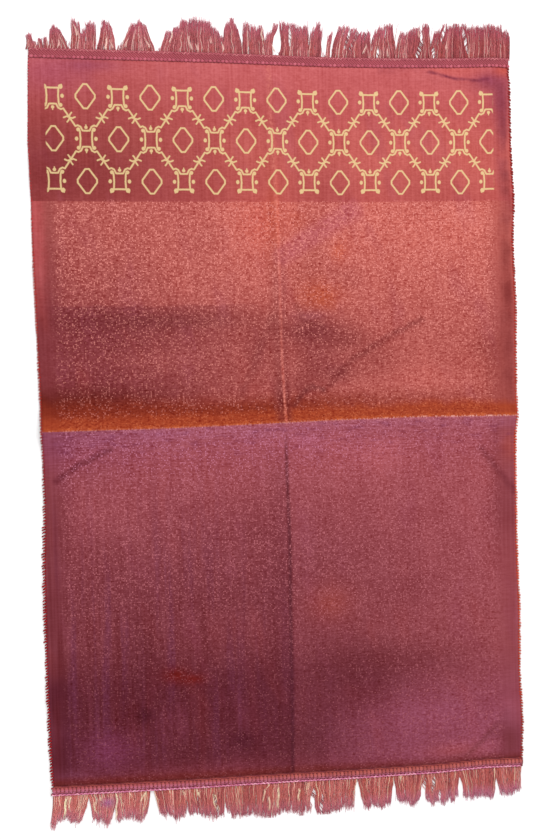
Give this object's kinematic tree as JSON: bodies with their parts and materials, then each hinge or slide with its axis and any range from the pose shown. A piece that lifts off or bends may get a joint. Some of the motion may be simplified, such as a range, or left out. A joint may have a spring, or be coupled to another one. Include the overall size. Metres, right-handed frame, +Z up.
{
  "type": "prayer rug",
  "caption": "Oblong velour prayer rug laid out flat, its fold marks standing up a little, with a sewn, knotless yarn fringe along both short ends.",
  "frame": {"origin": "middle of the rug, measured between its farthest side edges and fringe tips, on the floor it lies on", "axes": "+Y along the rug toward the patterned end, +X across it to the right seen from above with that end up, +Z up"},
  "size_m": [0.7064, 1.1606, 0.01],
  "materials": {
    "velour": "short brushed pile with a sheen that turns from rust to lilac",
    "mauve_yarn": "loosely twisted yarn",
    "rust_yarn": "loosely twisted yarn"
  },
  "bodies": {
    "root": {"pile_cloth": "velour", "patterned_end_fringe": "mauve_yarn", "plain_end_fringe": "rust_yarn"}
  },
  "joints": []
}
